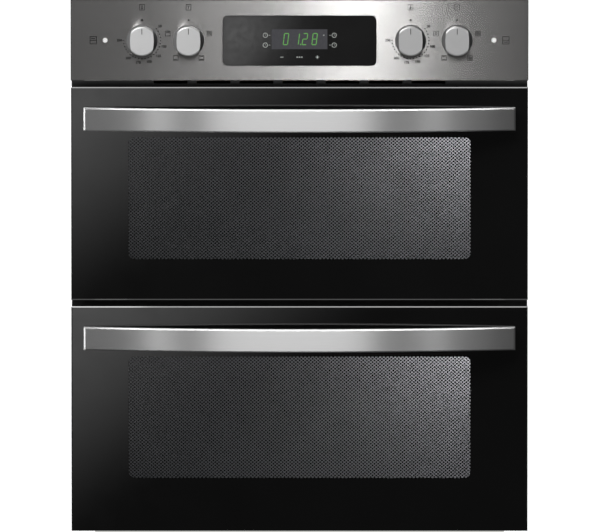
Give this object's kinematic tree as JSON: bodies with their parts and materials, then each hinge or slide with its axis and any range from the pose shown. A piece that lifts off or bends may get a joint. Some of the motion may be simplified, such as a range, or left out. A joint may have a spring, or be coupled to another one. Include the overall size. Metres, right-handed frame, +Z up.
{
  "type": "built-under double oven",
  "caption": "Built-under electric double oven with a brushed control fascia, rotary knobs, a touch timer and drop-down black glass doors with bowed bar handles.",
  "frame": {"origin": "middle of the base, at the centre of the overall width and depth", "axes": "+Z up, +X to the right of someone facing the doors, the doors face -Y"},
  "size_m": [0.595, 0.62, 0.695],
  "materials": {
    "fascia_steel": "satin",
    "black_enamel": "satin",
    "oven_enamel": "gloss",
    "galvanised": "satin",
    "gasket_rubber": "matte",
    "mineral_wool": "matte",
    "display_glass": "gloss",
    "module_plastic": "matte",
    "zinc_steel": "satin",
    "switch_ceramic": "matte",
    "lamp_plastic": "gloss",
    "chrome_wire": "polished",
    "element_steel": "satin",
    "lamp_ceramic": "matte",
    "lamp_glass": "gloss",
    "black_plastic": "matte",
    "hinge_steel": "satin",
    "door_glass": "gloss",
    "clear_glass": "gloss",
    "door_steel": "satin",
    "handle_metal": "satin",
    "knob_metal": "satin",
    "fan_plastic": "matte"
  },
  "bodies": {
    "root": {"front_frame": "black_enamel", "upper_cavity": "oven_enamel", "lower_cavity": "oven_enamel", "upper_gasket": "gasket_rubber", "lower_gasket": "gasket_rubber", "insulation_blankets": "mineral_wool", "side_panel_left": "galvanised", "side_panel_right": "galvanised", "top_cover": "galvanised", "rear_cover": "galvanised", "base_tray": "galvanised", "air_duct": "galvanised", "fascia_panel": "fascia_steel", "control_bracket": "galvanised", "display_window": "display_glass", "timer_module": "module_plastic", "thermostats": "zinc_steel", "selector_switches": "switch_ceramic", "indicator_lamps": "lamp_plastic", "upper_side_racks": "chrome_wire", "lower_side_racks": "chrome_wire", "upper_grill_element": "element_steel", "upper_base_element": "element_steel", "lower_ring_element": "element_steel", "fan_baffle": "oven_enamel", "fan_motor": "galvanised", "blower_housing": "galvanised", "blower_motor": "zinc_steel", "lamp_holders": "lamp_ceramic", "lamp_lenses": "lamp_glass", "terminal_box": "black_plastic", "hinge_arms": "hinge_steel", "hinge_pins": "hinge_steel", "casing_screws": "zinc_steel"},
    "upper_door": {"upper_outer_glass": "door_glass", "upper_door_frame": "door_steel", "upper_inner_glass": "clear_glass", "upper_hinge_channels": "hinge_steel", "upper_hinge_springs": "hinge_steel", "upper_handle_bar": "handle_metal", "upper_handle_posts": "handle_metal"},
    "lower_door": {"lower_outer_glass": "door_glass", "lower_door_frame": "door_steel", "lower_inner_glass": "clear_glass", "lower_hinge_channels": "hinge_steel", "lower_hinge_springs": "hinge_steel", "lower_handle_bar": "handle_metal", "lower_handle_posts": "handle_metal"},
    "upper_thermostat_control": {"upper_thermostat_knob": "knob_metal", "upper_thermostat_spindle": "zinc_steel"},
    "upper_selector_control": {"upper_selector_knob": "knob_metal", "upper_selector_spindle": "zinc_steel"},
    "lower_thermostat_control": {"lower_thermostat_knob": "knob_metal", "lower_thermostat_spindle": "zinc_steel"},
    "lower_selector_control": {"lower_selector_knob": "knob_metal", "lower_selector_spindle": "zinc_steel"},
    "fan": {"fan_impeller": "zinc_steel"},
    "blower": {"blower_wheel": "fan_plastic"},
    "upper_rack": {"upper_shelf": "chrome_wire"},
    "lower_rack": {"lower_shelf": "chrome_wire"}
  },
  "joints": [
    {"name": "upper_door_hinge", "type": "hinge", "parent": "root", "child": "upper_door", "pos_m": [0, -0.244, 0.314], "axis": [1, 0, 0], "range_deg": [0, 90], "stiffness_Nm_per_rad": 2.2, "springref_deg": -57.3},
    {"name": "lower_door_hinge", "type": "hinge", "parent": "root", "child": "lower_door", "pos_m": [0, -0.244, 0.012], "axis": [1, 0, 0], "range_deg": [0, 90], "stiffness_Nm_per_rad": 2.2, "springref_deg": -57.3},
    {"name": "upper_thermostat_turn", "type": "hinge", "parent": "root", "child": "upper_thermostat_control", "pos_m": [-0.2046, -0.258, 0.6425], "axis": [0, 1, 0], "range_deg": [0, 270]},
    {"name": "upper_selector_turn", "type": "hinge", "parent": "root", "child": "upper_selector_control", "pos_m": [-0.1442, -0.258, 0.6425], "axis": [0, 1, 0], "continuous": true},
    {"name": "lower_thermostat_turn", "type": "hinge", "parent": "root", "child": "lower_thermostat_control", "pos_m": [0.1442, -0.258, 0.6425], "axis": [0, 1, 0], "range_deg": [0, 270]},
    {"name": "lower_selector_turn", "type": "hinge", "parent": "root", "child": "lower_selector_control", "pos_m": [0.2046, -0.258, 0.6425], "axis": [0, 1, 0], "continuous": true},
    {"name": "fan_spin", "type": "hinge", "parent": "root", "child": "fan", "pos_m": [0, 0.185, 0.1545], "axis": [0, 1, 0], "continuous": true},
    {"name": "blower_spin", "type": "hinge", "parent": "root", "child": "blower", "pos_m": [0, 0.04, 0.608], "axis": [0, 0, 1], "continuous": true},
    {"name": "upper_shelf_slide", "type": "slide", "parent": "root", "child": "upper_rack", "axis": [0, -1, 0], "range_m": [0, 0.205]},
    {"name": "lower_shelf_slide", "type": "slide", "parent": "root", "child": "lower_rack", "axis": [0, -1, 0], "range_m": [0, 0.205]}
  ],
  "couplings": [
    {"joint": "upper_shelf_slide", "follows": "upper_door_hinge", "m_per_rad": 0.13},
    {"joint": "lower_shelf_slide", "follows": "lower_door_hinge", "m_per_rad": 0.13}
  ]
}
